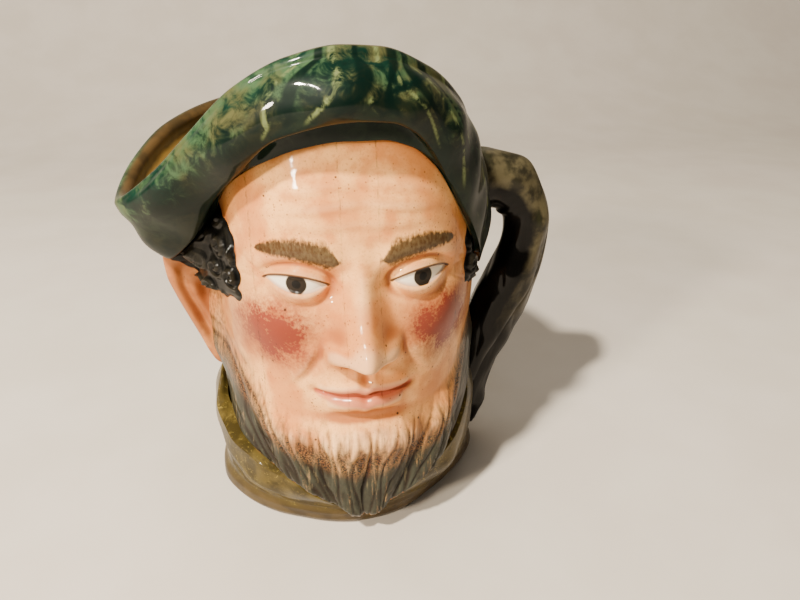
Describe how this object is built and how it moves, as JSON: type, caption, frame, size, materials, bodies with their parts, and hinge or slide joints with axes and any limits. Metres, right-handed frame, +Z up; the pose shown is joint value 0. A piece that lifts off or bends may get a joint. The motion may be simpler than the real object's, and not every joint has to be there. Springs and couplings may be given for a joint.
{
  "type": "character jug",
  "caption": "Hollow glazed earthenware jug shaped as a bearded head in a tilted beret, with a pouring lip and a gnarled branch handle.",
  "frame": {"origin": "centre of the footprint box, on the plane the foot ring stands on", "axes": "+Z up; the face looks along -Y; the handle is on +X and the pouring lip on -X"},
  "size_m": [0.1496, 0.1236, 0.1587],
  "materials": {
    "glazed_earthenware": "hand painted under a clear gloss glaze"
  },
  "bodies": {
    "root": {"toby_jug": "glazed_earthenware"}
  },
  "joints": []
}
